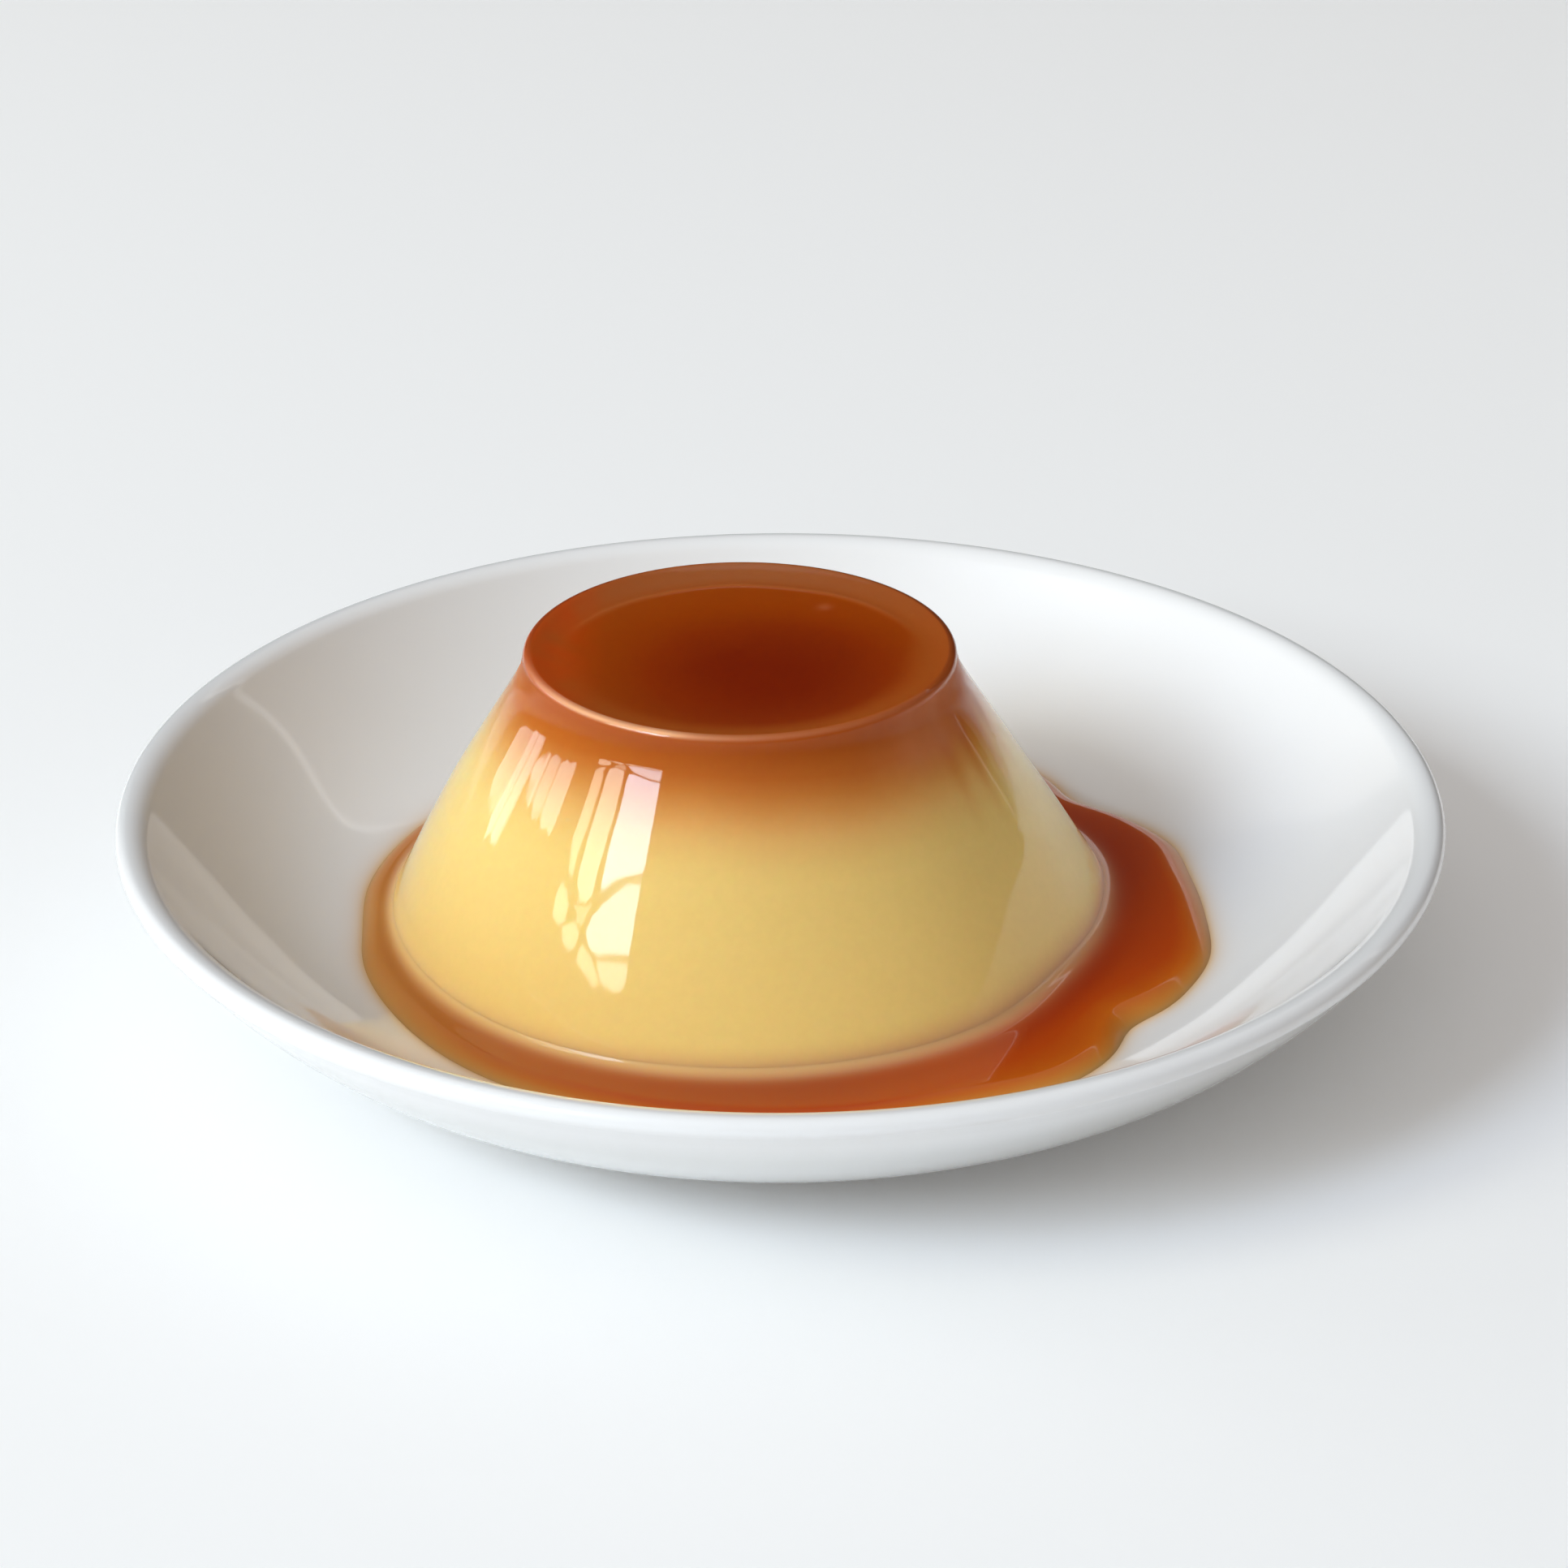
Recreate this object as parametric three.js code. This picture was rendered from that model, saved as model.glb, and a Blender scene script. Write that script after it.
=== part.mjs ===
// Caramel pudding turned out of its mould into a shallow white dish, standing in its caramel sauce.
// Millimetres, +Z up. The origin is the centre of the dish's foot, on the surface that it stands on.
import * as THREE from "three";

// ---- Driving dimensions ----

// Dish: a floor, a wall that steepens outwards, a rounded lip and a low foot ring.
const DISH_RADIUS = 75;
const DISH_HEIGHT = 23.2;
const LIP_RADIUS = 1.5;
const WALL_ANGLE = THREE.MathUtils.degToRad(51); // slope of the wall where it meets the lip
const WALL_POWER = 2.4; // how late the wall turns up
const FLOOR_HEIGHT = 6.6;
const FLOOR_THICKNESS = 4;
const FOOT_RADIUS = 44;
const FOOT_WIDTH = 4;
const FOOT_FILLET = 0.7; // rounding of the foot ring's edges

// Pudding: heights are counted up from the sauce's surface.
const SAUCE_LEVEL = 8.5;
const PUDDING_HEIGHT = 32;
const BASE_RADIUS = 41.1; // at the sauce's surface
const SIDE_TAPER = 0.573; // inward run for each millimetre of height
const SIDE_BULGE = 0.43; // most that the side swells out of its straight cone
const BULGE_SPAN = 27; // height of the swollen stretch
const TOP_RADIUS = 24.1;
const TOP_TAPER = 0.15; // the short, nearly upright band under the rim
const TAPER_BLEND = 0.6; // softens the change from side to band
const RIM_ROUND = 1.1;
const TOP_DIP = 0.9; // how far the middle of the top sinks below its rim
const TOP_DIP_RUN = 9; // distance from the rim's round over which it sinks
const TOP_CENTRE_X = -4.5; // the pudding stands a little to the left of the dish's centre
const BASE_SHIFT = 0.6; // the base sits this much to the right of the top
const BASE_SHIFT_HEIGHT = 14;
// Unevenness of the base, fading towards the top: degrees, half-width in degrees, millimetres.
const BASE_BUMPS = [
  [14, 16, 1.3],
  [-29, 16, -1.2],
  [-125, 24, 0.4],
];
const BASE_TUCK = 1.3; // how far the bottom edge rounds under
const TUCK_SHOULDER = { drop: 0.9, inset: 0.13 }; // millimetres, the step between side and bottom

// Caramel-soaked layer at the top of the pudding.
const CARAMEL_THICKNESS = 7;

// Sauce: a pool with a rounded edge, its outline measured from the dish's axis.
const POOL_RADIUS = 48.7;
const POOL_FORWARD = 0.9; // how much further the pool reaches towards the front
const POOL_EDGE = 1.3; // width of the rounded edge
const CLIMB_HEIGHT = 0.5; // rise of the sauce where it clings to the pudding
const CLIMB_RUN = 1.4;
// Dents (negative) and bulges in the outline: degrees, half-width in degrees, millimetres.
const POOL_BUMPS = [
  [37, 8, -2.7],
  [18, 6, 0.7],
  [-15, 9, 1.0],
  [-36, 6, -1.9],
  [-54, 10, 1.7],
  [-130, 16, 0.8],
  [-175, 9, -0.7],
];

const CONTACT_GAP = 0.3; // between pieces that touch

// Facet counts: around each body, then along each stretch of its section.
const DISH_SEGMENTS = 90;
const POOL_SEGMENTS = 90;
const PUDDING_SEGMENTS = 64;
const WALL_INSIDE_STEPS = 12;
const WALL_OUTSIDE_STEPS = 9;
const LIP_STEPS = 8;
const FILLET_STEPS = 3;
const CUSTARD_STEPS = 11;
const LAYER_STEPS = 5;
const RIM_STEPS = 4;
const DIP_STEPS = 5;
const BED_STEPS = 4;
const POOL_EDGE_STEPS = 4;
const OUTLINE_PASSES = 4; // repeats that find the pudding's outline as seen from the dish's axis

// Plain colours and gloss.
const LOOKS = {
  plate: { color: 0xeceef2, roughness: 0.12 },
  caramel_sauce: { color: 0x7d2a08, roughness: 0.08 },
  custard: { color: 0xefcb7a, roughness: 0.25 },
  caramel_layer: { color: 0x8f3d12, roughness: 0.18 },
};

// ---- Shared helpers ----

const { clamp, euclideanModulo, lerp, radToDeg, smoothstep } = THREE.MathUtils;
const QUARTER = Math.PI / 2;

// Evenly spaced values from start to end, both included.
function steps(start, end, count) {
  return Array.from({ length: count + 1 }, (_, i) => lerp(start, end, i / count));
}

// Angles of a full turn, in radians.
function angles(count) {
  return steps(0, 4 * QUARTER, count).slice(0, -1);
}

// Points of an arc in a radius-height plane, angles in radians from the outward direction.
function arc(centre, radius, from, to, count) {
  return steps(from, to, count).map(
    (a) => new THREE.Vector2(centre.x + radius * Math.cos(a), centre.y + radius * Math.sin(a)),
  );
}

// Sum of the rounded bumps and dents of a list, at an angle in radians.
function bumpSum(bumps, angle) {
  return bumps.reduce((sum, [at, halfWidth, size]) => {
    const away = euclideanModulo(radToDeg(angle) - at + 180, 360) - 180;
    return sum + size * Math.exp(-((away / halfWidth) ** 2));
  }, 0);
}

// A closed body through rings of equal point counts. Rings run anticlockwise seen from above.
// With hubs, the first and last rings are closed by fans; without, the last ring joins the first.
function ringBody(rings, hubs) {
  const count = rings[0].length;
  const points = rings.flat();
  const faces = [];
  const last = hubs ? rings.length - 1 : rings.length;
  for (let i = 0; i < last; i++) {
    const low = i * count;
    const high = ((i + 1) % rings.length) * count;
    for (let j = 0; j < count; j++) {
      const k = (j + 1) % count;
      faces.push(low + j, low + k, high + k);
      faces.push(low + j, high + k, high + j);
    }
  }
  if (hubs) {
    const [bottom, top] = [points.length, points.length + 1];
    const topRing = (rings.length - 1) * count;
    points.push(hubs.bottom, hubs.top);
    for (let j = 0; j < count; j++) {
      const k = (j + 1) % count;
      faces.push(bottom, k, j);
      faces.push(top, topRing + j, topRing + k);
    }
  }
  const geometry = new THREE.BufferGeometry().setFromPoints(points);
  geometry.setIndex(faces);
  geometry.computeVertexNormals();
  return geometry;
}

function makeMesh(name, geometry) {
  const mesh = new THREE.Mesh(geometry, new THREE.MeshStandardMaterial(LOOKS[name]));
  mesh.name = name;
  return mesh;
}

// ---- Dish ----

const lipCentre = new THREE.Vector2(DISH_RADIUS - LIP_RADIUS, DISH_HEIGHT - LIP_RADIUS);
const wallTopRadius = lipCentre.x - LIP_RADIUS * Math.sin(WALL_ANGLE);
const wallTopHeight = lipCentre.y + LIP_RADIUS * Math.cos(WALL_ANGLE);
// The wall leaves the floor level and meets the lip at the wall's angle.
const wallRise = wallTopHeight - FLOOR_HEIGHT;
const wallRun = (WALL_POWER * wallRise) / Math.tan(WALL_ANGLE);
const floorRadius = wallTopRadius - wallRun;

function dishHeight(radius) {
  const share = Math.max(0, radius - floorRadius) / wallRun;
  return FLOOR_HEIGHT + wallRise * Math.pow(share, WALL_POWER);
}

// The outside of the wall: the inside moved out along its normal by the local thickness.
function dishUnderside(radius) {
  const share = (radius - floorRadius) / wallRun;
  const slope = Math.atan(Math.tan(WALL_ANGLE) * Math.pow(share, WALL_POWER - 1));
  const thickness = lerp(FLOOR_THICKNESS, 2 * LIP_RADIUS, share * share);
  return new THREE.Vector2(
    radius + thickness * Math.sin(slope),
    dishHeight(radius) - thickness * Math.cos(slope),
  );
}

// The foot ring and the recess inside it, from the ring's outer edge to the axis.
function footProfile() {
  const inner = FOOT_RADIUS - FOOT_WIDTH;
  const recess = FLOOR_HEIGHT - FLOOR_THICKNESS;
  const outerFillet = new THREE.Vector2(FOOT_RADIUS - FOOT_FILLET, FOOT_FILLET);
  const innerFillet = new THREE.Vector2(inner + FOOT_FILLET, FOOT_FILLET);
  return [
    ...arc(outerFillet, FOOT_FILLET, 0, -QUARTER, FILLET_STEPS),
    ...arc(innerFillet, FOOT_FILLET, -QUARTER, -2 * QUARTER, FILLET_STEPS),
    new THREE.Vector2(inner, recess - FOOT_FILLET),
    new THREE.Vector2(inner - FOOT_FILLET, recess),
    new THREE.Vector2(0, recess),
  ];
}

function makeDish() {
  const inside = steps(floorRadius, wallTopRadius, WALL_INSIDE_STEPS).map(
    (radius) => new THREE.Vector2(radius, dishHeight(radius)),
  );
  const lip = arc(lipCentre, LIP_RADIUS, QUARTER + WALL_ANGLE, WALL_ANGLE - QUARTER, LIP_STEPS);
  const outside = steps(wallTopRadius, FOOT_RADIUS + FOOT_FILLET, WALL_OUTSIDE_STEPS).map(dishUnderside);
  const profile = [
    new THREE.Vector2(0, FLOOR_HEIGHT),
    ...inside.slice(0, -1),
    ...lip,
    ...outside.slice(1),
    ...footProfile(),
  ].reverse();
  const geometry = new THREE.LatheGeometry(profile, DISH_SEGMENTS);
  geometry.rotateX(QUARTER);
  return makeMesh("plate", geometry);
}

// ---- Pudding ----

// Radius of the side: a slightly swollen cone that turns into an upright band under the rim.
function sideRadius(height) {
  const swell = SIDE_BULGE * Math.sin((Math.PI * height) / BULGE_SPAN);
  const cone = BASE_RADIUS - SIDE_TAPER * height + swell;
  const band = TOP_RADIUS + TOP_TAPER * (PUDDING_HEIGHT - height);
  return (cone + band + Math.hypot(cone - band, TAPER_BLEND)) / 2;
}

function centreX(height) {
  const low = clamp(1 - height / BASE_SHIFT_HEIGHT, 0, 1);
  return TOP_CENTRE_X + BASE_SHIFT * low;
}

// What the unevenness adds to the radius at one angle and height.
function unevenness(angle, height) {
  return bumpSum(BASE_BUMPS, angle) * clamp(1 - height / PUDDING_HEIGHT, 0, 1);
}

// One point on the pudding: a height, an angle about its centre and a radius there.
function puddingPoint(height, angle, radius) {
  const reach = radius * (1 + unevenness(angle, height) / BASE_RADIUS);
  return new THREE.Vector3(
    centreX(height) + reach * Math.cos(angle),
    reach * Math.sin(angle),
    SAUCE_LEVEL + height,
  );
}

function puddingRing(height, radius) {
  return angles(PUDDING_SEGMENTS).map((angle) => puddingPoint(height, angle, radius));
}

// Lays a point on the dish, clear of it by the contact gap.
function restOnDish(point) {
  point.z = dishHeight(Math.hypot(point.x, point.y)) + CONTACT_GAP;
  return point;
}

const seamHeight = PUDDING_HEIGHT - CARAMEL_THICKNESS;

function makeCustard() {
  const topHeight = seamHeight - CONTACT_GAP / 2;
  const edge = BASE_RADIUS - BASE_TUCK;
  const bottom = [edge / 2, edge].map((radius) => puddingRing(0, radius).map(restOnDish));
  const shoulder = puddingRing(-TUCK_SHOULDER.drop, BASE_RADIUS - TUCK_SHOULDER.inset);
  const side = steps(0, topHeight, CUSTARD_STEPS).map((h) => puddingRing(h, sideRadius(h)));
  const hubs = {
    bottom: restOnDish(puddingPoint(0, 0, 0)),
    top: puddingPoint(topHeight, 0, 0),
  };
  const geometry = ringBody([...bottom, shoulder, ...side], hubs);
  return makeMesh("custard", geometry);
}

function makeCaramelLayer() {
  const bottomHeight = seamHeight + CONTACT_GAP / 2;
  const sideTop = PUDDING_HEIGHT - RIM_ROUND;
  const rimCentre = new THREE.Vector2(sideRadius(sideTop) - RIM_ROUND, sideTop);
  const side = steps(bottomHeight, sideTop, LAYER_STEPS).map((h) => puddingRing(h, sideRadius(h)));
  const rim = arc(rimCentre, RIM_ROUND, 0, QUARTER, RIM_STEPS).map((p) => puddingRing(p.y, p.x));
  const dip = steps(0, 1, DIP_STEPS).map((share) => {
    const drop = TOP_DIP * smoothstep(share, 0, 1);
    return puddingRing(PUDDING_HEIGHT - drop, rimCentre.x - share * TOP_DIP_RUN);
  });
  const hubs = {
    bottom: puddingPoint(bottomHeight, 0, 0),
    top: puddingPoint(PUDDING_HEIGHT - TOP_DIP, 0, 0),
  };
  const geometry = ringBody([...side, ...rim.slice(1), ...dip.slice(1)], hubs);
  return makeMesh("caramel_layer", geometry);
}

// ---- Sauce ----

// Distance of the pool's outline from the dish's axis.
function poolRadius(angle) {
  return POOL_RADIUS - POOL_FORWARD * Math.sin(angle) + bumpSum(POOL_BUMPS, angle);
}

// The pool's section along one ray from the dish's axis, as distance and height pairs.
// It runs out along the dish, round the edge, back over the surface and down the pudding.
function poolSection(angle, innerRadius) {
  const outer = poolRadius(angle);
  const crown = outer - POOL_EDGE;
  const foot = dishHeight(outer) + CONTACT_GAP;
  const edgeHeight = SAUCE_LEVEL - foot;
  const bed = steps(innerRadius, outer, BED_STEPS).map((r) => [r, dishHeight(r) + CONTACT_GAP]);
  const edge = steps(0, QUARTER, POOL_EDGE_STEPS).map((a) => [
    crown + POOL_EDGE * Math.cos(a),
    foot + edgeHeight * Math.sin(a),
  ]);
  const climbFoot = innerRadius + CLIMB_RUN;
  const surface = steps(crown, climbFoot, 2).map((r) => [r, SAUCE_LEVEL]);
  const climb = steps(1, 0, 2).map((share) => [
    innerRadius + share * CLIMB_RUN,
    SAUCE_LEVEL + CLIMB_HEIGHT * (1 - share) ** 2,
  ]);
  return [...bed, ...edge.slice(1), ...surface.slice(1), ...climb.slice(1)];
}

// Where a ray from the dish's axis leaves the pudding, at the sauce's surface. Each pass uses the
// unevenness at the last pass's answer.
function puddingEdgeAlong(angle) {
  const along = centreX(0) * Math.cos(angle);
  const aside = centreX(0) * Math.sin(angle);
  let distance = BASE_RADIUS;
  for (let pass = 0; pass < OUTLINE_PASSES; pass++) {
    const seen = Math.atan2(distance * Math.sin(angle), distance * Math.cos(angle) - centreX(0));
    const reach = sideRadius(0) + unevenness(seen, 0);
    distance = along + Math.sqrt(reach * reach - aside * aside);
  }
  return distance;
}

function makeSauce() {
  const rays = angles(POOL_SEGMENTS);
  const sections = rays.map((angle) => poolSection(angle, puddingEdgeAlong(angle) + CONTACT_GAP));
  const rings = sections[0].map((_, i) =>
    rays.map((angle, j) => {
      const [distance, height] = sections[j][i];
      return new THREE.Vector3(distance * Math.cos(angle), distance * Math.sin(angle), height);
    }),
  );
  return makeMesh("caramel_sauce", ringBody(rings));
}

// ---- Assembly ----

const pudding = new THREE.Group();
pudding.add(makeDish(), makeSauce(), makeCustard(), makeCaramelLayer());

export default pudding;
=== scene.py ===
"""Looks of a turned-out caramel pudding on a shallow white dish, standing in its caramel sauce.

Shapes are worked out in millimetres from the same named sizes as the solids, and stored in metres.
Angles run round +Z from +X. The photo's viewer is at -Y, so the front is at -90 degrees.
Unevenness by angle is a list of bumps, each its place in degrees, its half-width in degrees and its size.
"""

import math

import bpy
import numpy as np
from mathutils import Matrix, Vector


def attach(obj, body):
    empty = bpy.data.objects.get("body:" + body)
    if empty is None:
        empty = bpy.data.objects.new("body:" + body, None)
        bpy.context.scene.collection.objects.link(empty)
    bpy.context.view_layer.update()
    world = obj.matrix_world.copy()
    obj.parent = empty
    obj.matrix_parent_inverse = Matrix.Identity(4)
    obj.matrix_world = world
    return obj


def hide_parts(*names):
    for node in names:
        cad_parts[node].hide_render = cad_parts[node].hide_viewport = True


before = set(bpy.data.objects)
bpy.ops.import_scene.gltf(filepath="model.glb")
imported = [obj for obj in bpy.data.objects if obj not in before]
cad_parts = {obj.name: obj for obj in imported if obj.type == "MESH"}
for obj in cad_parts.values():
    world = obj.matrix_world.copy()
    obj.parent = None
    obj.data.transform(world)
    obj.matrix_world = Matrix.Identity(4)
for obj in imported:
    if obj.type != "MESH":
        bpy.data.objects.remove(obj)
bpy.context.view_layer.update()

MM = 0.001
FULL_TURN = 2 * math.pi
QUARTER_TURN = math.pi / 2

# ---- Sizes shared with the solids, in millimetres ----
DISH_RADIUS = 74.94  # just inside the box of the faceted solid
DISH_HEIGHT = 23.2
LIP_OUTER_ROUND = 1.25
LIP_INNER_ROUND = 3.2
WALL_ANGLE = math.radians(51)  # slope of the wall where it meets the lip
WALL_POWER = 2.4  # how late the wall turns up
FLOOR_HEIGHT = 6.6
FLOOR_THICKNESS = 4.0
FOOT_RADIUS = 44.0
FOOT_WIDTH = 4.0
FOOT_FILLET = 0.7

# Heights on the pudding are counted up from the sauce's surface.
SAUCE_LEVEL = 8.5
PUDDING_HEIGHT = 32.0
BASE_RADIUS = 41.1
SIDE_TAPER = 0.573  # inward run for each millimetre of height
SIDE_BULGE = 0.43
BULGE_SPAN = 27.0  # height at which the bulge ends
TOP_RADIUS = 24.1
TOP_TAPER = 0.15  # the same of the short, nearly upright band under the rim
TAPER_BLEND = 0.6  # how softly the side meets that band
RIM_ROUND = 0.8
RIM_START = PUDDING_HEIGHT - RIM_ROUND
TOP_CENTRE_X = -4.5
BASE_SHIFT = 0.6  # the base sits this much to the right of the top
BASE_SHIFT_HEIGHT = 14.0  # where that shift has faded out
BASE_BUMPS = [(14, 16, 1.3), (-29, 16, -1.2), (-125, 24, 0.4)]
BASE_TUCK = 1.3  # how far the bottom edge rounds under
TUCK_RINGS = [(-0.9, 0.13), (-0.5, 0.02)]  # height and inset of each ring of that rounding
CONTACT_GAP = 0.3  # between the pudding's bottom and the dish

POOL_RADIUS = 48.7
POOL_FORWARD = 0.9  # how much further the pool reaches towards the front
POOL_EDGE = 3.0  # width of its rounded edge
CLIMB_HEIGHT = 1.2  # rise of the sauce where it clings to the pudding
CLIMB_LENGTH = 0.63  # how quickly it falls off from there
POOL_BUMPS = [
    (37, 8, -2.7), (18, 6, 0.7), (-15, 9, 1.0), (-36, 6, -1.9),
    (-54, 10, 1.7), (-130, 16, 0.8), (-175, 9, -0.7),
]


# ---- Curves ----
def hump(distance, half_width):
    """1 at distance 0, fading on both sides of it."""
    return np.exp(-((distance / half_width) ** 2))


def fade(distance, reach, power=1.0):
    """1 up to distance 0, fading beyond it over about the reach."""
    return np.exp(-((np.maximum(distance, 0) / reach) ** power))


def smoothstep(value, low, high):
    share = np.clip((value - low) / (high - low), 0, 1)
    return share * share * (3 - 2 * share)


def bump_sum(bumps, angle):
    """Sum of rounded bumps and dents at angles in radians."""
    degrees = np.degrees(angle)
    total = np.zeros_like(degrees)
    for at, half_width, size in bumps:
        away = np.mod(degrees - at + 180, 360) - 180
        total += size * hump(away, half_width)
    return total


def waves(angle, height, count, turns, rise, seed):
    """Smooth unevenness about 0, periodic in angle: turns and rise are the finest waves round and up."""
    rng = np.random.default_rng(seed)
    total = np.zeros(np.broadcast(angle, height).shape)
    for _ in range(count):
        k = rng.integers(1, turns + 1)
        m = rng.uniform(-rise, rise)
        total = total + np.cos(k * angle + m * height + rng.uniform(0, FULL_TURN)) / math.sqrt(k)
    return total / math.sqrt(count)


def arc(centre, radius, start, end, count):
    angle = np.linspace(start, end, count + 1)
    return np.stack([centre[0] + radius * np.cos(angle), centre[1] + radius * np.sin(angle)], 1)


def angles_round(count):
    return np.linspace(0, FULL_TURN, count, endpoint=False)


# ---- Meshes ----
def add_values(mesh, values_by_name):
    """Stores a number for each point under each name, for the materials."""
    for name, values in values_by_name.items():
        layer = mesh.attributes.new(name, "FLOAT", "POINT")
        layer.data.foreach_set("value", np.asarray(values, np.float32).ravel())


def link_object(name, data):
    obj = bpy.data.objects.new(name, data)
    bpy.context.scene.collection.objects.link(obj)
    return obj


def grid_object(name, grid, hubs, values_by_name):
    """A mesh through rings of points, grid[ring, around, xyz] in millimetres, smooth shaded.
    hubs is a pair of points that close its ends, or None where the last ring joins the first."""
    rings, around = grid.shape[:2]
    points = grid.reshape(-1, 3)
    i = np.arange(rings - 1 if hubs else rings)[:, None]
    j = np.arange(around)[None, :]
    k = (j + 1) % around
    up = (i + 1) % rings
    corners = [i * around + j, i * around + k, up * around + k, up * around + j]
    faces = np.stack(corners, -1).reshape(-1, 4).tolist()
    if hubs:
        bottom, top = len(points), len(points) + 1
        last = (rings - 1) * around
        points = np.vstack([points, hubs[0], hubs[1]])
        for a in range(around):
            b = (a + 1) % around
            faces.append((bottom, b, a))
            faces.append((top, last + a, last + b))
    mesh = bpy.data.meshes.new(name)
    mesh.from_pydata((points * MM).tolist(), [], faces)
    add_values(mesh, values_by_name)
    mesh.polygons.foreach_set("use_smooth", np.ones(len(mesh.polygons), bool))
    mesh.update()
    return link_object(name, mesh)


# ---- Dish form ----
apex_radius = DISH_RADIUS - LIP_OUTER_ROUND
wall_top_radius = apex_radius - LIP_INNER_ROUND * math.sin(WALL_ANGLE)
wall_rise = DISH_HEIGHT - LIP_INNER_ROUND * (1 - math.cos(WALL_ANGLE)) - FLOOR_HEIGHT
wall_run = WALL_POWER * wall_rise / math.tan(WALL_ANGLE)
lip_slant = (LIP_INNER_ROUND - LIP_OUTER_ROUND) * math.cos(WALL_ANGLE)
lip_thickness = LIP_INNER_ROUND + LIP_OUTER_ROUND - lip_slant
floor_radius = wall_top_radius - wall_run


def dish_height(radius):
    """Height of the dish's inside, at radii up to the lip."""
    share = np.maximum(0, radius - floor_radius) / wall_run
    return FLOOR_HEIGHT + wall_rise * share**WALL_POWER


def dish_underside(radius):
    """Points of the wall's outside, square below the inside at these radii."""
    share = (radius - floor_radius) / wall_run
    slope = np.arctan(math.tan(WALL_ANGLE) * share ** (WALL_POWER - 1))
    thickness = FLOOR_THICKNESS + (lip_thickness - FLOOR_THICKNESS) * share**2
    return np.stack([radius + thickness * np.sin(slope), dish_height(radius) - thickness * np.cos(slope)], 1)


# ---- Pudding and pool form ----
def side_radius(height):
    """Radius of the side without its unevenness: a swollen cone that meets the band under the rim."""
    swell = SIDE_BULGE * np.sin(math.pi * height / BULGE_SPAN)
    cone = BASE_RADIUS - SIDE_TAPER * height + swell
    band = TOP_RADIUS + TOP_TAPER * (PUDDING_HEIGHT - height)
    return (cone + band + np.hypot(cone - band, TAPER_BLEND)) / 2


def centre_x(height):
    return TOP_CENTRE_X + BASE_SHIFT * np.clip(1 - height / BASE_SHIFT_HEIGHT, 0, 1)


def unevenness(angle, height):
    return bump_sum(BASE_BUMPS, angle) * np.clip(1 - height / PUDDING_HEIGHT, 0, 1)


def pool_radius(angle):
    return POOL_RADIUS - POOL_FORWARD * np.sin(angle) + bump_sum(POOL_BUMPS, angle)


def pudding_edge_along(angle, height):
    """Where rays from the dish's axis leave the pudding, at a height above the sauce's surface."""
    shift = centre_x(height)
    plain = side_radius(height)
    distance = np.full_like(angle, plain)
    for _ in range(5):
        seen = np.arctan2(distance * np.sin(angle), distance * np.cos(angle) - shift)
        reach = plain * (1 + unevenness(seen, height) / BASE_RADIUS)
        distance = shift * np.cos(angle) + np.sqrt(reach**2 - (shift * np.sin(angle)) ** 2)
    return distance


# ---- Material helpers ----
def srgb(r, g, b):
    """Linear colour from display values of 0 to 255."""
    value = np.array([r, g, b], float) / 255
    linear = np.where(value <= 0.04045, value / 12.92, ((value + 0.055) / 1.055) ** 2.4)
    return (*linear.tolist(), 1.0)


def grey(value):
    return (value, value, value, 1)


BLACK = grey(0)
WHITE = grey(1)


def new_material(name):
    material = bpy.data.materials.new(name)
    material.use_nodes = True
    tree = material.node_tree
    tree.nodes.clear()
    output = tree.nodes.new("ShaderNodeOutputMaterial")
    shader = tree.nodes.new("ShaderNodeBsdfPrincipled")
    tree.links.new(shader.outputs[0], output.inputs["Surface"])
    return material, tree, shader


def set_values(node, values):
    for key, value in values.items():
        node.inputs[key].default_value = value


def attribute(tree, name):
    node = tree.nodes.new("ShaderNodeAttribute")
    node.attribute_name = name
    return node.outputs["Fac"]


def noise(tree, scale, detail):
    """Noise by place on the object, scale in waves for each metre."""
    place = tree.nodes.new("ShaderNodeTexCoord")
    node = tree.nodes.new("ShaderNodeTexNoise")
    set_values(node, {"Scale": scale, "Detail": detail, "Roughness": 0.5})
    tree.links.new(place.outputs["Object"], node.inputs["Vector"])
    return node.outputs["Fac"]


def math_node(tree, operation, *values):
    node = tree.nodes.new("ShaderNodeMath")
    node.operation = operation
    for socket, value in zip(node.inputs, values):
        if isinstance(value, (int, float)):
            socket.default_value = value
        else:
            tree.links.new(value, socket)
    return node.outputs[0]


def vector_node(tree, operation, vector, fixed):
    """A number from a vector and a fixed vector."""
    node = tree.nodes.new("ShaderNodeVectorMath")
    node.operation = operation
    node.inputs[1].default_value = fixed
    tree.links.new(vector, node.inputs[0])
    return node.outputs["Value"]


def ramp(tree, factor, stops):
    """Colour by factor: stops are (place, colour)."""
    node = tree.nodes.new("ShaderNodeValToRGB")
    elements = node.color_ramp.elements
    while len(elements) > 1:
        elements.remove(elements[-1])
    elements[0].position, elements[0].color = stops[0]
    for place, colour in stops[1:]:
        elements.new(place).color = colour
    tree.links.new(factor, node.inputs["Fac"])
    return node.outputs["Color"]


def mix(tree, factor, first, second, blend="MIX"):
    node = tree.nodes.new("ShaderNodeMix")
    node.data_type = "RGBA"
    node.blend_type = blend
    sockets = [s for s in node.inputs if s.enabled]
    for socket, value in zip(sockets, (factor, first, second)):
        if isinstance(value, (int, float, tuple)):
            socket.default_value = value
        else:
            tree.links.new(value, socket)
    return next(s for s in node.outputs if s.enabled)


def multiply(tree, first, second):
    return mix(tree, 1.0, first, second, "MULTIPLY")


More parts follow.
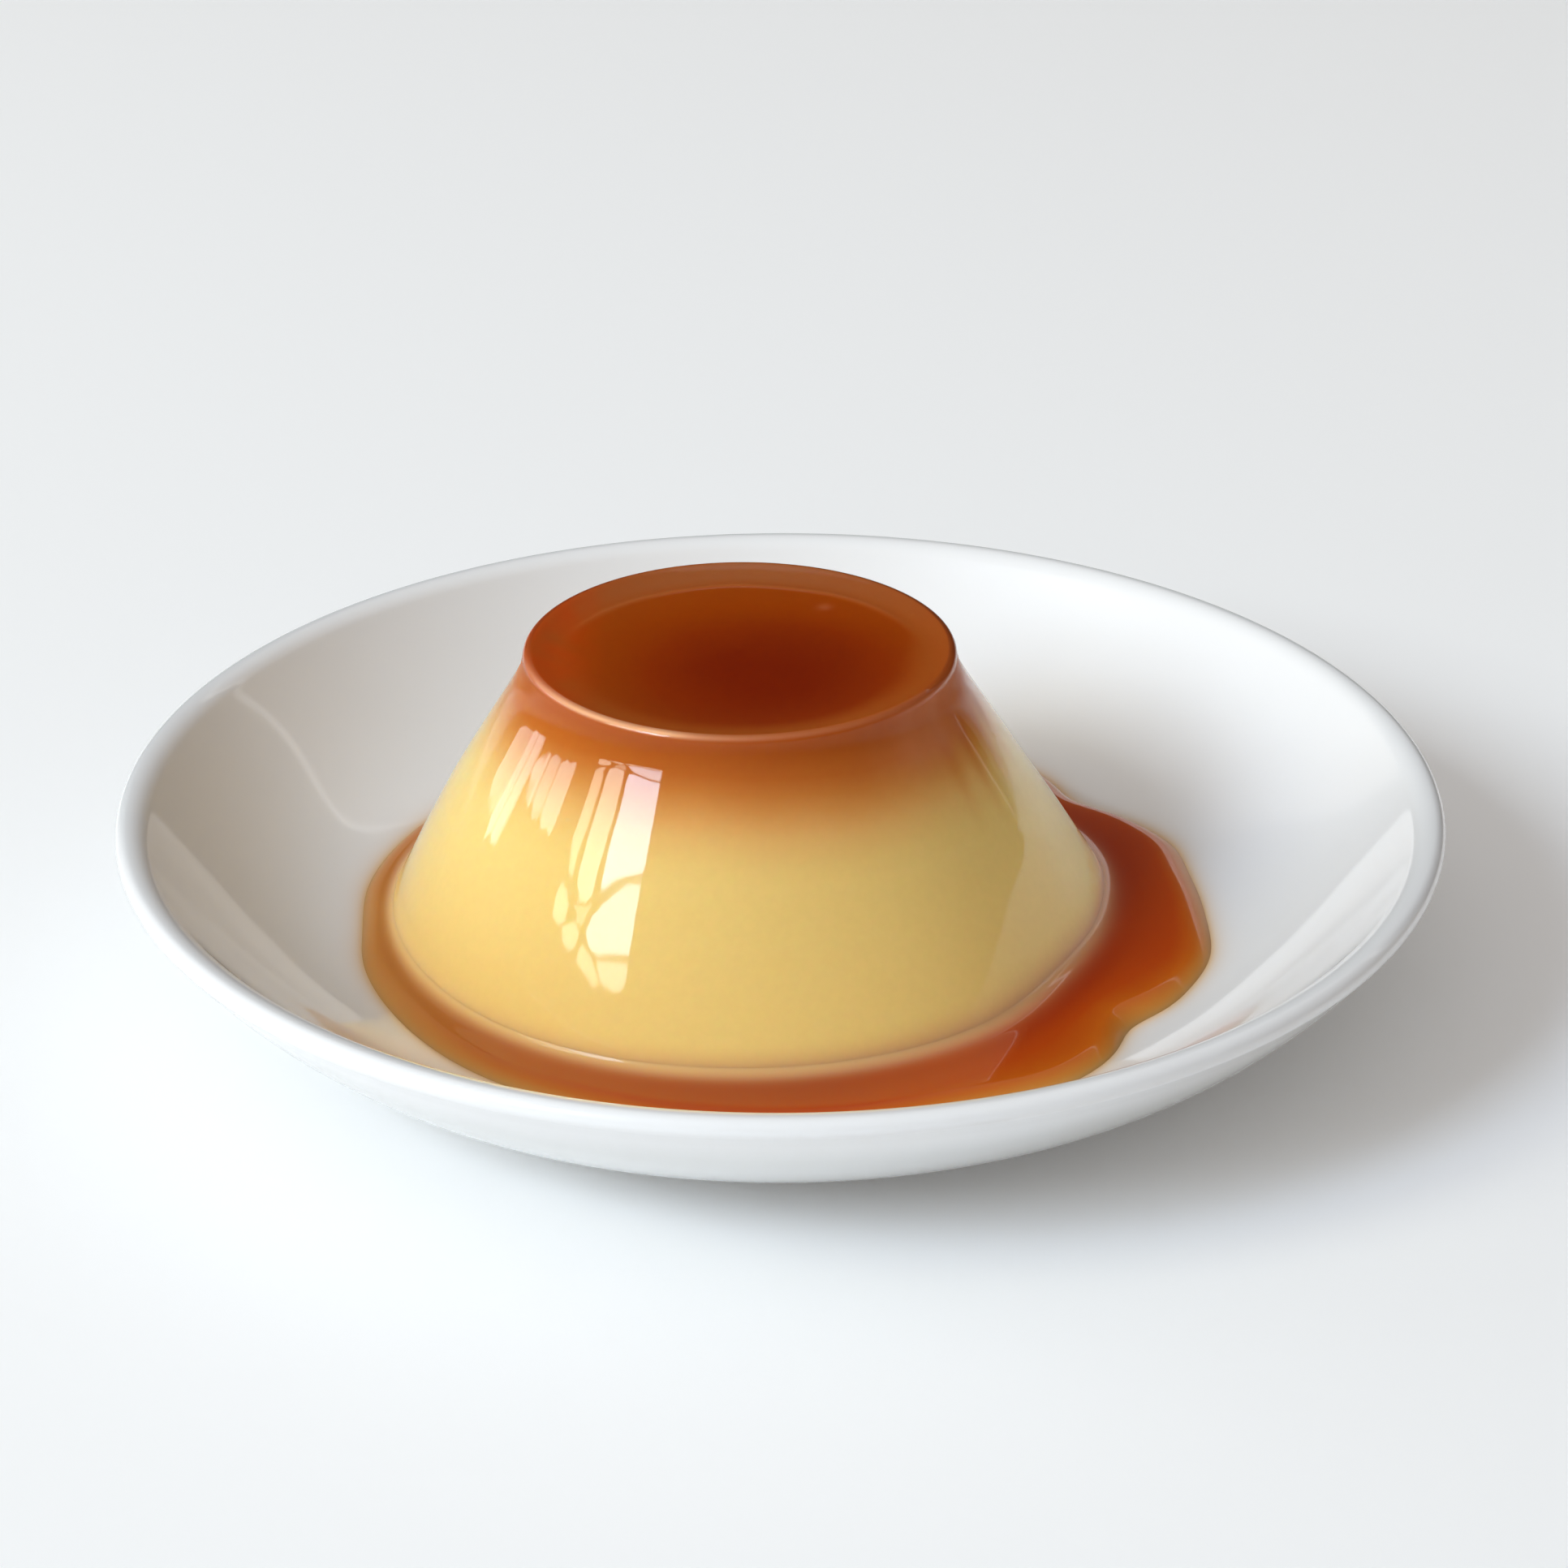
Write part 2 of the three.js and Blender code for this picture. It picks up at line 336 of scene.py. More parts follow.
def tint(tree, colour, name, share, target):
    """The colour, moved towards a target by the share where the attribute is 1."""
    factor = attribute(tree, name)
    if share < 1:
        factor = math_node(tree, "MULTIPLY", factor, share)
    return mix(tree, factor, colour, srgb(*target))


def uneven(tree, value, scale, amount):
    """The value with noise about 0 added."""
    about_zero = math_node(tree, "SUBTRACT", noise(tree, scale, detail=3), 0.5)
    return math_node(tree, "ADD", value, math_node(tree, "MULTIPLY", about_zero, amount))


def add_bump(tree, shader, height, strength, distance):
    node = tree.nodes.new("ShaderNodeBump")
    set_values(node, {"Strength": strength, "Distance": distance})
    tree.links.new(height, node.inputs["Height"])
    for socket in ("Normal", "Coat Normal"):
        tree.links.new(node.outputs[0], shader.inputs[socket])


def dim_coat(tree, shader, name):
    """A coat that is full where the attribute is 0 and gone where it is 1."""
    tree.links.new(math_node(tree, "SUBTRACT", 1.0, attribute(tree, name)), shader.inputs["Coat Weight"])


# ---- Dish ----
DISH_AROUND = 300
FLOOR_RINGS = 36
WALL_RINGS = 80
OUTSIDE_RINGS = 60
RECESS_RINGS = 12
LIP_STEPS = 20  # for each of its two rounds
FILLET_STEPS = 6
HUB_RADIUS = 1.5  # innermost ring of the floor and of the recess below it
RECESS_INSET = 2  # from the foot's inside to the recess's outermost ring

GLOW_REACH = 0.9  # the sauce's colour shines this far on the glaze beside it
SHADED_OUTSIDE_BLEND = 4  # width of the change from the inside's glaze to the outside's painted shade


def dish_profile():
    """Radius and height from the recess under the dish, round its foot and lip, to the middle of its floor.
    Also gives how many of the points are on the underside."""
    floor_radii = np.linspace(HUB_RADIUS, floor_radius, FLOOR_RINGS)
    floor = np.stack([floor_radii, np.full(FLOOR_RINGS, FLOOR_HEIGHT)], 1)
    wall_radii = np.linspace(floor_radius, wall_top_radius, WALL_RINGS)[1:]
    wall = np.stack([wall_radii, dish_height(wall_radii)], 1)
    inner_centre = (apex_radius, DISH_HEIGHT - LIP_INNER_ROUND)
    outer_centre = (apex_radius, DISH_HEIGHT - LIP_OUTER_ROUND)
    lip = np.vstack([
        arc(inner_centre, LIP_INNER_ROUND, QUARTER_TURN + WALL_ANGLE, QUARTER_TURN, LIP_STEPS)[1:],
        arc(outer_centre, LIP_OUTER_ROUND, QUARTER_TURN, WALL_ANGLE - QUARTER_TURN, LIP_STEPS)[1:],
    ])
    outside = dish_underside(np.linspace(wall_top_radius, FOOT_RADIUS + FOOT_FILLET, OUTSIDE_RINGS))
    inside = FOOT_RADIUS - FOOT_WIDTH
    recess = FLOOR_HEIGHT - FLOOR_THICKNESS
    outer_corner = (FOOT_RADIUS - FOOT_FILLET, FOOT_FILLET)
    inner_corner = (inside + FOOT_FILLET, FOOT_FILLET)
    recess_corner = (inside - FOOT_FILLET, recess - FOOT_FILLET)
    recess_radii = np.linspace(inside - RECESS_INSET, HUB_RADIUS, RECESS_RINGS)
    foot = np.vstack([
        arc(outer_corner, FOOT_FILLET, 0, -QUARTER_TURN, FILLET_STEPS),
        arc(inner_corner, FOOT_FILLET, -QUARTER_TURN, -2 * QUARTER_TURN, FILLET_STEPS),
        arc(recess_corner, FOOT_FILLET, 0, QUARTER_TURN, FILLET_STEPS),
        np.stack([recess_radii, np.full(RECESS_RINGS, recess)], 1),
    ])
    return np.vstack([floor, wall, lip, outside, foot])[::-1], len(foot) + len(outside)


def make_dish():
    profile, underside_count = dish_profile()
    radius, height = profile[:, :1], profile[:, 1:]
    angle = angles_round(DISH_AROUND)
    grid = np.stack([radius * np.cos(angle), radius * np.sin(angle), height + 0 * angle], -1)
    upper = (np.arange(len(profile)) >= underside_count)[:, None]
    glow = np.where(upper, fade(radius - pool_radius(angle), GLOW_REACH), 0)
    # painted shade: the dish's outside gets a greyer glaze colour, fading in below the lip
    outer = np.where(upper, 0, smoothstep(apex_radius - radius, 0, SHADED_OUTSIDE_BLEND)) + 0 * glow
    hubs = ((0, 0, float(height[0, 0])), (0, 0, FLOOR_HEIGHT))
    return grid_object("dish", grid, hubs, {
        "glow": np.append(glow, [0, 1]),
        "outer": np.append(outer, [1, 0]),
    })


def glaze_material():
    """White glaze, with painted shade greying the outside, and a painted amber glow where the sauce shines on
    it.
    """
    material, tree, shader = new_material("white_glaze")
    cloud = noise(tree, scale=30, detail=2)
    body = ramp(tree, cloud, [(0.3, (0.83, 0.83, 0.832, 1)), (0.7, (0.855, 0.855, 0.858, 1))])
    # painted shade on the outside
    body = mix(tree, attribute(tree, "outer"), body, (0.72, 0.725, 0.715, 1))
    # painted amber glow where the sauce's light falls on the glaze
    body = mix(tree, attribute(tree, "glow"), body, (0.76, 0.48, 0.22, 1))
    tree.links.new(body, shader.inputs["Base Color"])
    set_values(shader, {
        "Roughness": 0.28, "Specular IOR Level": 0.5,
        "Coat Weight": 1.0, "Coat Roughness": 0.06, "Coat IOR": 1.5,
    })
    add_bump(tree, shader, noise(tree, scale=55, detail=2), strength=0.12, distance=0.0006)
    return material


# ---- Pudding ----
PUDDING_AROUND = 320
BOTTOM_RINGS = 10
BOTTOM_HUB_RADIUS = 3  # innermost ring of the bottom
SIDE_RINGS = 110
RIM_STEPS = 14
MARGIN_INSETS = (0.2, 9, 42)  # of the top's outer rings from the rim's round: first, last and how many
MIDDLE_START = 9.5  # inset of the first of its inner rings
MIDDLE_RINGS = 24
TOP_HUB_RADIUS = 1  # innermost ring of the top
TOP_RINGS = MARGIN_INSETS[2] + MIDDLE_RINGS

# The top: its margin slopes down to a shallow pool of caramel with a raised edge and one small pit.
MARGIN_DROP = 0.5
BACK_SLOPE_POWER = 1.5
FRONT_SLOPE_LENGTH = 3.5
POOL_DROP = 0.35  # how much more the middle sinks
POOL_SLOPE = 9  # width of that slope, from the pool's edge
RIDGE_HEIGHT = 0.08
RIDGE_HALF_WIDTH = 0.55
# the raised edge's lighter tint is a painted highlight
RIDGE_HIGHLIGHT_HALF_WIDTH = 0.45
PIT = (9.6, 11.9)  # from the top's centre
PIT_DEPTH = 0.05
PIT_HALF_WIDTH = 0.7
PIT_TINT_HALF_WIDTH = 0.8

# The top's darkest place, from its centre, and how far the dark reaches each way.
DARK_CENTRE = (3.0, -5.8)
DARK_REACH = (16.8, 17.6)
DARK_POWER = 2.6

# How far the caramel has soaked down the side, in millimetres, and how strong it is by height.
SOAK_REACH = [(-20, 34, 0.95), (-60, 22, 0.4), (150, 40, -0.6), (-168, 26, 0.3)]
SOAK_STREAKS = [(-12, 2.2, 1.3), (-22, 2.0, 1.5), (-31, 2.4, 0.9), (-4, 2.5, 1.0)]
SOAK_HEIGHTS = [17.5, 19.5, 21.7, 23.2, 24.7, 26.1, 27.7, 30.5]
SOAK_SHARES = [0, 0.10, 0.25, 0.4, 0.55, 0.7, 0.85, 1]

# Height of the sauce that clings to the foot of the side, in millimetres.
CLING_HEIGHT = 3.3
CLING_BUMPS = [(-35, 34, 1.3), (-100, 30, 0.2)]

# Which sides have each of these looks, as shares.
FOOT_BLUSH = [(10, 60, 1.0), (-75, 40, 0.2)]
FOOT_DULL = [(-158, 45, 0.75), (-48, 40, 0.65)]
# painted shade low on the left side, where the dish's rim keeps light off
LOW_SHADE = [(-172, 42, 1.0), (-130, 30, 0.35)]
BAND_DULL = [(-22, 34, 0.85), (168, 42, 0.7)]
BAND_FLUSH = [(-33, 17, 1.0)]
RIM_DULL = [(-60, 36, 0.5)]
# painted highlight along the front of the rim, with a narrow painted glint
RIM_HIGHLIGHT = [(-130, 30, 0.9), (-80, 50, 0.12), (-110, 6, 0.4)]
RIM_DARK_LINE = [(30, 52, 1.0), (145, 40, 0.8)]
TOP_GREYER = [(88, 62, 1.0)]
TOP_NOT_RED = [(90, 30, 1)]

# At the hubs of the bottom and of the top, where they aren't both 0.
HUB_VALUES = {"soak": (0, 1), "upper": (0, 1), "depth": (0, 1), "wet": (1, 0)}


def top_pool_radius(angle):
    """Edge of the shallow pool of caramel on the top, from the top's centre."""
    ripple = 0.15 * waves(angle, 0.0, count=10, turns=9, rise=0, seed=31)
    return 20.3 - 2.5 * np.sin(angle) + 0.3 * np.cos(angle) + ripple


def pudding_rings():
    """Height above the sauce and radius of each ring, from the bottom's middle to the top's.
    The rings of the bottom have no height here: they follow the dish."""
    bottom = [(None, r) for r in np.linspace(BOTTOM_HUB_RADIUS, BASE_RADIUS - BASE_TUCK, BOTTOM_RINGS)]
    tuck = [(height, BASE_RADIUS - inset) for height, inset in TUCK_RINGS]
    side = [(h, side_radius(h)) for h in np.linspace(0, RIM_START, SIDE_RINGS)]
    rim_centre = (float(side_radius(RIM_START)) - RIM_ROUND, RIM_START)
    rim = [(p[1], p[0]) for p in arc(rim_centre, RIM_ROUND, 0, QUARTER_TURN, RIM_STEPS)[1:]]
    middle_insets = np.linspace(MIDDLE_START, rim_centre[0] - TOP_HUB_RADIUS, MIDDLE_RINGS)
    insets = np.concatenate([np.linspace(*MARGIN_INSETS), middle_insets])
    top = [(PUDDING_HEIGHT, rim_centre[0] - inset) for inset in insets]
    return bottom + tuck + side + rim + top


def pudding_grid(rings, angle):
    """Points of all rings, with a level top."""
    grid = np.zeros((len(rings), len(angle), 3))
    for i, (height, radius) in enumerate(rings):
        level = 0.0 if height is None else height
        reach = radius * (1 + unevenness(angle, level) / BASE_RADIUS)
        x = centre_x(level) + reach * np.cos(angle)
        y = reach * np.sin(angle)
        if height is None:
            z = dish_height(np.hypot(x, y)) + CONTACT_GAP
        else:
            z = np.full_like(x, SAUCE_LEVEL + height)
        grid[i] = np.stack([x, y, z], -1)
    return grid


def from_pit(x, y):
    return np.hypot(x - PIT[0], y - PIT[1])


def top_drop(x, y, angle):
    """How far the top lies below its rim, at places from its centre."""
    from_centre = np.hypot(x, y)
    pool = top_pool_radius(angle)
    edge = side_radius(PUDDING_HEIGHT) - RIM_ROUND
    into_margin = np.clip((edge - from_centre) / (edge - pool), 0, 1)
    back = 1 - (1 - into_margin) ** BACK_SLOPE_POWER
    front = 1 - np.exp(-(edge - from_centre) / FRONT_SLOPE_LENGTH)
    frontal = smoothstep(-np.sin(angle), -0.3, 0.5)
    margin = MARGIN_DROP * ((1 - frontal) * back + frontal * front)
    middle = POOL_DROP * smoothstep(pool - from_centre, -0.5, POOL_SLOPE)
    ridge = RIDGE_HEIGHT * hump(from_centre - pool, RIDGE_HALF_WIDTH) * smoothstep(np.sin(angle), 0.0, 0.6)
    return margin + middle - ridge + PIT_DEPTH * hump(from_pit(x, y), PIT_HALF_WIDTH)


def soak_share(around, height):
    """How much caramel the side has soaked up. Its unevenness is added to the height."""
    wander = 0.5 * waves(around, 0.0, count=16, turns=14, rise=0, seed=3)
    wander = wander + 0.18 * waves(around, height, count=24, turns=24, rise=0.35, seed=5)
    effective = height + bump_sum(SOAK_REACH, around) + bump_sum(SOAK_STREAKS, around) + wander
    return np.interp(effective, SOAK_HEIGHTS, SOAK_SHARES)


def top_values(around, radius, x, y):
    """Depth of the caramel, 1 where it is darkest, the looks of its lighter margin, and a painted highlight
    along the pool's raised back edge.
    """
    dark = np.hypot((x - DARK_CENTRE[0]) / DARK_REACH[0], (y - DARK_CENTRE[1]) / DARK_REACH[1])
    cloud = 0.05 * waves(around, radius * 0.25, count=10, turns=5, rise=1.0, seed=8)
    outside = np.hypot(x, y) - top_pool_radius(around)
    softness = 0.9 + 2.6 * smoothstep(0.35 - np.sin(around), 0, 0.6)
    margin = smoothstep(outside, -softness, 0.6)
    streaks = 0.55 + 0.45 * waves(around, radius * 1.6, count=18, turns=30, rise=1.0, seed=41)
    return {
        "depth": np.exp(-(dark**DARK_POWER)) + cloud,
        "margin": margin,
        # painted highlight along the pool's raised back edge
        "ridge": hump(outside, RIDGE_HIGHLIGHT_HALF_WIDTH) * smoothstep(np.sin(around), 0.1, 0.8),
        "back": margin * bump_sum(TOP_GREYER, around) * smoothstep(outside, -0.8, 2.5),
        "left": smoothstep(-x, 14, 20) * smoothstep(-bump_sum(TOP_NOT_RED, around), -0.6, 0) * streaks,
    }


def side_values(around, height):
    """A painted highlight line and a dark line at the rim, sauce at the foot, painted shade low on the left,
    and the side's patches of other colour and gloss.
    """
    cling = CLING_HEIGHT + bump_sum(CLING_BUMPS, around)
    cling = cling + 0.2 * waves(around, 0.0, count=12, turns=18, rise=0, seed=9)
    wet = np.clip((cling - height) / (cling - CLIMB_HEIGHT), 0, 1) ** 2
    band = smoothstep(height, 26.5, 29) * (1 - smoothstep(height, 30.8, 31.4))
    rim = smoothstep(height, RIM_START - 0.2, RIM_START + 0.3)
    dull = band * bump_sum(BAND_DULL, around) + np.sqrt(wet) * bump_sum(FOOT_DULL, around)
    streaks = 0.62 + 0.38 * waves(around, height * 0.4, count=22, turns=60, rise=0.3, seed=51)
    dark_line = smoothstep(height, RIM_START + 0.1, PUDDING_HEIGHT)
    return {
        # painted highlight line at the top of the rim
        "rim_highlight": hump(height - PUDDING_HEIGHT + 0.2, 0.22) * bump_sum(RIM_HIGHLIGHT, around),
        "dark_line": dark_line * bump_sum(RIM_DARK_LINE, around),
        "wet": wet,
        "dull": dull + rim * bump_sum(RIM_DULL, around),
        "flush": smoothstep(height, 22.5, 27) * bump_sum(BAND_FLUSH, around) * streaks,
        # painted shade towards the bottom on the left
        "low_shade": np.clip((15 - height) / 12, 0, 1) ** 1.3 * bump_sum(LOW_SHADE, around),
    }


def pudding_values(rings, angle, x, y, on_top):
    """All the looks of the pudding, for each point of the rings and for the two hubs."""
    height = np.array([0.0 if h is None else h for h, _ in rings])[:, None]
    radius = np.array([r for _, r in rings])[:, None]
    around = angle[None, :]
    side = side_values(around, height)
    values_by_name = {
        "soak": np.where(on_top, 1, soak_share(around, height)),
        "upper": np.where(on_top, 1, smoothstep(height, RIM_START, PUDDING_HEIGHT - 0.12)),
        "blush": bump_sum(FOOT_BLUSH, around),
        "pit": np.where(on_top, hump(from_pit(x, y), PIT_TINT_HALF_WIDTH), 0),
        **top_values(around, radius, x, y),
        **{name: np.where(on_top, 0, values) for name, values in side.items()},
    }
    return {
        name: np.append(np.broadcast_to(np.clip(values, 0, 1), x.shape), HUB_VALUES.get(name, (0, 0)))
        for name, values in values_by_name.items()
    }


def make_pudding():
    angle = angles_round(PUDDING_AROUND)
    rings = pudding_rings()
    grid = pudding_grid(rings, angle)
    x, y = grid[..., 0] - TOP_CENTRE_X, grid[..., 1]
    on_top = (np.arange(len(rings)) >= len(rings) - TOP_RINGS)[:, None]
    grid[..., 2] -= np.where(on_top, top_drop(x, y, angle), 0)
    bottom_hub = (float(centre_x(0.0)), 0, FLOOR_HEIGHT + CONTACT_GAP)
    top_hub = (TOP_CENTRE_X, 0, float(grid[-1, 0, 2]))
    return grid_object("pudding", grid, (bottom_hub, top_hub), pudding_values(rings, angle, x, y, on_top))


def foot_colour(tree):
    """Where the sauce climbs the pudding: amber, pinker where the blush is."""
    return mix(tree, attribute(tree, "blush"), srgb(222, 170, 105), srgb(215, 154, 113))


def side_colour(tree):
    """Yellow custard that turns to caramel where it has soaked it up, with painted shade low on the left."""
    side = ramp(tree, uneven(tree, attribute(tree, "soak"), scale=60, amount=0.06), [
        (0.0, srgb(236, 202, 120)),
        (0.10, srgb(233, 196, 115)),
        (0.25, srgb(227, 180, 103)),
        (0.40, srgb(220, 162, 88)),
        (0.55, srgb(208, 140, 66)),
        (0.70, srgb(196, 118, 42)),
        (0.85, srgb(184, 96, 18)),
        (1.0, srgb(172, 80, 6)),
    ])
    side = tint(tree, side, "flush", 0.75, (206, 130, 92))
    # painted shade low on the left
    return tint(tree, side, "low_shade", 0.6, (210, 162, 88))


def top_colour(tree):
    """Dark caramel with a lighter margin: greyer at the back, red and streaked on the left, with a painted
    highlight along the pool's raised back edge.
    """
    top = ramp(tree, attribute(tree, "depth"), [
        (0.0, srgb(154, 66, 8)),
        (0.3, srgb(146, 56, 2)),
        (0.6, srgb(134, 42, 1)),
        (1.0, srgb(118, 28, 1)),
    ])
    for name, share, target in [
        ("margin", 1, (156, 72, 18)),
        ("back", 1, (156, 86, 44)),
        ("left", 0.75, (188, 58, 0)),
        # painted highlight along the pool's raised edge
        ("ridge", 0.45, (176, 98, 50)),
        ("pit", 0.5, (176, 92, 52)),
    ]:
        top = tint(tree, top, name, share, target)
    return top


def pudding_material():
    """Custard below and caramel on top, with a painted highlight and a dark line at its rim, painted shade
    low on the left, and the sauce at its foot.
    """
    material, tree, shader = new_material("custard_and_caramel")
    colour = mix(tree, attribute(tree, "upper"), side_colour(tree), top_colour(tree))
    # painted highlight along the rim
    colour = tint(tree, colour, "rim_highlight", 1, (238, 178, 134))
    colour = tint(tree, colour, "dark_line", 0.75, (104, 44, 20))
    colour = mix(tree, attribute(tree, "wet"), colour, foot_colour(tree))
    grain = ramp(tree, noise(tree, scale=900, detail=3), [(0.35, (0.98, 0.98, 0.97, 1)), (0.65, WHITE)])
    tree.links.new(multiply(tree, colour, grain), shader.inputs["Base Color"])
    set_values(shader, {
        "Roughness": 0.5, "Specular IOR Level": 0.0,
        "Subsurface Weight": 0.6, "Subsurface Radius": (1.0, 0.55, 0.25), "Subsurface Scale": 0.003,
        "Coat Roughness": 0.035, "Coat IOR": 1.4,
    })
    dim_coat(tree, shader, "dull")
    add_bump(tree, shader, noise(tree, scale=120, detail=2), strength=0.06, distance=0.0005)
    return material


# ---- Sauce ----
SAUCE_AROUND = 600
UNDER_RINGS = 8
SURFACE_STEPS = 63
SAUCE_LIFT = 0.02  # above the dish
SAUCE_OVERLAP = 0.15  # under the pudding's edge
CONTACT_OVERLAP = 0.01  # into the pudding's side
HIDDEN_STEP = (0.3, 0.36)  # inwards and up, from the contact to a last ring inside the pudding

# Depth of colour: over how many millimetres it deepens from the pool's edge, and how deep it gets.
DEEPEN_REACH = 2.2
DEEPEN_BUMPS = [(15, 40, 2.2), (-60, 25, 0.8)]
DEEPEST = 0.34
DEEPEST_BUMPS = [(15, 42, 0.58), (-55, 34, 0.07), (-92, 27, 0.6), (-125, 20, 0.12)]
SHADE_BUMPS = [(-40, 22, 1.0)]  # where it is darker a little way from the pudding

# Widths of the light edge and of the light contact with the pudding, in millimetres.
EDGE_WIDTH = 0.42
EDGE_BUMPS = [(50, 45, 0.5)]
CONTACT_WIDTH = 0.7
CONTACT_BUMPS = [(-35, 34, 0.35), (12, 30, 0.35), (-98, 42, 0.3)]

# Which sides have each of these looks, as shares. Quiet sauce mirrors less of the room.
# the thin edge's pinker tint at the back right is a painted highlight
EDGE_PINK_HIGHLIGHT = [(35, 38, 1.0)]
EDGE_GLOSSY = [(38, 36, 1.0)]
SIDE_BROWN = [(-165, 48, 1.0)]
SIDE_QUIET = [(-150, 60, 0.45)]
CONTACT_QUIET = [(10, 45, 0.85), (-178, 45, 0.6), (-128, 30, 0.4)]
QUIETEST = 0.85


def sauce_rings(angle):
    """Radius and height of each ring, out along the dish and back over the surface to the pudding.
    Also gives the radius of the contact with the pudding."""
    outer = pool_radius(angle)
    inner = pudding_edge_along(angle, 0.0) - SAUCE_OVERLAP
    contact = pudding_edge_along(angle, CLIMB_HEIGHT) - CONTACT_OVERLAP
    width = outer - contact
    edge_width = np.minimum(POOL_EDGE, 0.55 * width)
    foot = dish_height(outer) + SAUCE_LIFT
    rings = []
    for share in np.linspace(0, 1, UNDER_RINGS):
        radius = inner + (outer - inner) * share
        rings.append((radius, dish_height(radius) + SAUCE_LIFT))
    for turn in np.linspace(0, math.pi, SURFACE_STEPS + 1)[1:]:
        away = width * (1 + math.cos(turn)) / 2  # from the pudding
        swell = 1 - np.clip(1 - (width - away) / edge_width, 0, 1) ** 2
        climb = CLIMB_HEIGHT * np.exp(-away / CLIMB_LENGTH)
        rings.append((contact + away, foot + (SAUCE_LEVEL - foot) * swell + climb))
    rings.append((contact - HIDDEN_STEP[0], rings[-1][1] + HIDDEN_STEP[1]))
    return np.array([r for r, _ in rings]), np.array([h for _, h in rings]), contact


def sauce_values(angle, radius, contact):
    """Depth of the colour, and patches of other colour and gloss, by distance from edge and pudding."""
    edge = pool_radius(angle) - radius
    away = radius - contact
    deepened = 1 - np.exp(-edge / (DEEPEN_REACH + bump_sum(DEEPEN_BUMPS, angle)))
    depth = deepened * (DEEPEST + bump_sum(DEEPEST_BUMPS, angle))
    depth = depth + 0.03 * waves(angle, radius * 0.6, count=14, turns=14, rise=1.0, seed=12)
    depth = depth + 0.38 * hump(away - 3.2, 2.3) * bump_sum(SHADE_BUMPS, angle)
    contact_width = CONTACT_WIDTH + bump_sum(CONTACT_BUMPS, angle)
    quiet = hump(edge, 1.9) * (1 - bump_sum(EDGE_GLOSSY, angle)) + bump_sum(SIDE_QUIET, angle)
    quiet = quiet + fade(away, 0.8) * bump_sum(CONTACT_QUIET, angle)
    values_by_name = {
        "depth": depth,
        "thin": fade(edge, EDGE_WIDTH + bump_sum(EDGE_BUMPS, angle)),
        "near": fade(away - 0.2, contact_width, power=1.4),
        # painted pinkish highlight on the thin edge
        "pink_highlight": bump_sum(EDGE_PINK_HIGHLIGHT, angle),
        "brown": bump_sum(SIDE_BROWN, angle),
        "blush": bump_sum(FOOT_BLUSH, angle),
        "quiet": np.minimum(quiet, QUIETEST),
    }
    return {name: np.clip(values, 0, 1) + 0 * edge for name, values in values_by_name.items()}


def make_sauce():
    angle = angles_round(SAUCE_AROUND)
    radius, height, contact = sauce_rings(angle)
    grid = np.stack([radius * np.cos(angle), radius * np.sin(angle), height], -1)
    return grid_object("sauce", grid, None, sauce_values(angle, radius, contact))


def sauce_material():
    """Syrup that darkens with depth, light at its edge and where it climbs the pudding, with a pinkish
    painted highlight on its edge at the back right.
    """
    material, tree, shader = new_material("caramel_sauce")
    colour = ramp(tree, uneven(tree, attribute(tree, "depth"), scale=90, amount=0.10), [
        (0.0, srgb(206, 144, 66)),
        (0.12, srgb(198, 124, 44)),
        (0.30, srgb(188, 92, 10)),
        (0.50, srgb(175, 63, 0)),
        (0.80, srgb(160, 50, 2)),
        (1.0, srgb(150, 47, 10)),
    ])
    # the thin edge is lighter where the sauce is thin, and pinker at the back right as a painted highlight
    thin_edge = mix(tree, attribute(tree, "pink_highlight"), srgb(186, 136, 80), srgb(200, 124, 92))
    colour = mix(tree, attribute(tree, "thin"), colour, thin_edge)
    colour = tint(tree, colour, "brown", 0.65, (165, 112, 58))
    colour = mix(tree, attribute(tree, "near"), colour, foot_colour(tree))
    tree.links.new(colour, shader.inputs["Base Color"])
    set_values(shader, {
        "Roughness": 0.3, "Specular IOR Level": 0.08,
        "Subsurface Weight": 0.25, "Subsurface Radius": (1.0, 0.35, 0.08), "Subsurface Scale": 0.003,
        "Coat Roughness": 0.02, "Coat IOR": 1.45,
    })
    dim_coat(tree, shader, "quiet")
    add_bump(tree, shader, noise(tree, scale=70, detail=2), strength=0.06, distance=0.0004)
    return material


# ---- The object ----
PARTS = [
    (make_dish, glaze_material, ["plate"], "glazed_dish"),
    (make_pudding, pudding_material, ["custard", "caramel_layer"], "custard"),
    (make_sauce, sauce_material, ["caramel_sauce"], "sauce"),
]
for make, dress, nodes, slot_name in PARTS:
    piece = make()
    piece.data.materials.append(dress())
    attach(piece, "root")
    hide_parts(*nodes)


# ---- Floor: metres from here on ----
FLOOR_HALF = 4.0
FLOOR_DROP = 0.00002  # keeps the floor just clear of the dish's foot
FLOOR_LIGHT_POOL_CENTRE = (0, 0.22, 0)  # painted pool of light: the floor darkens away from this place


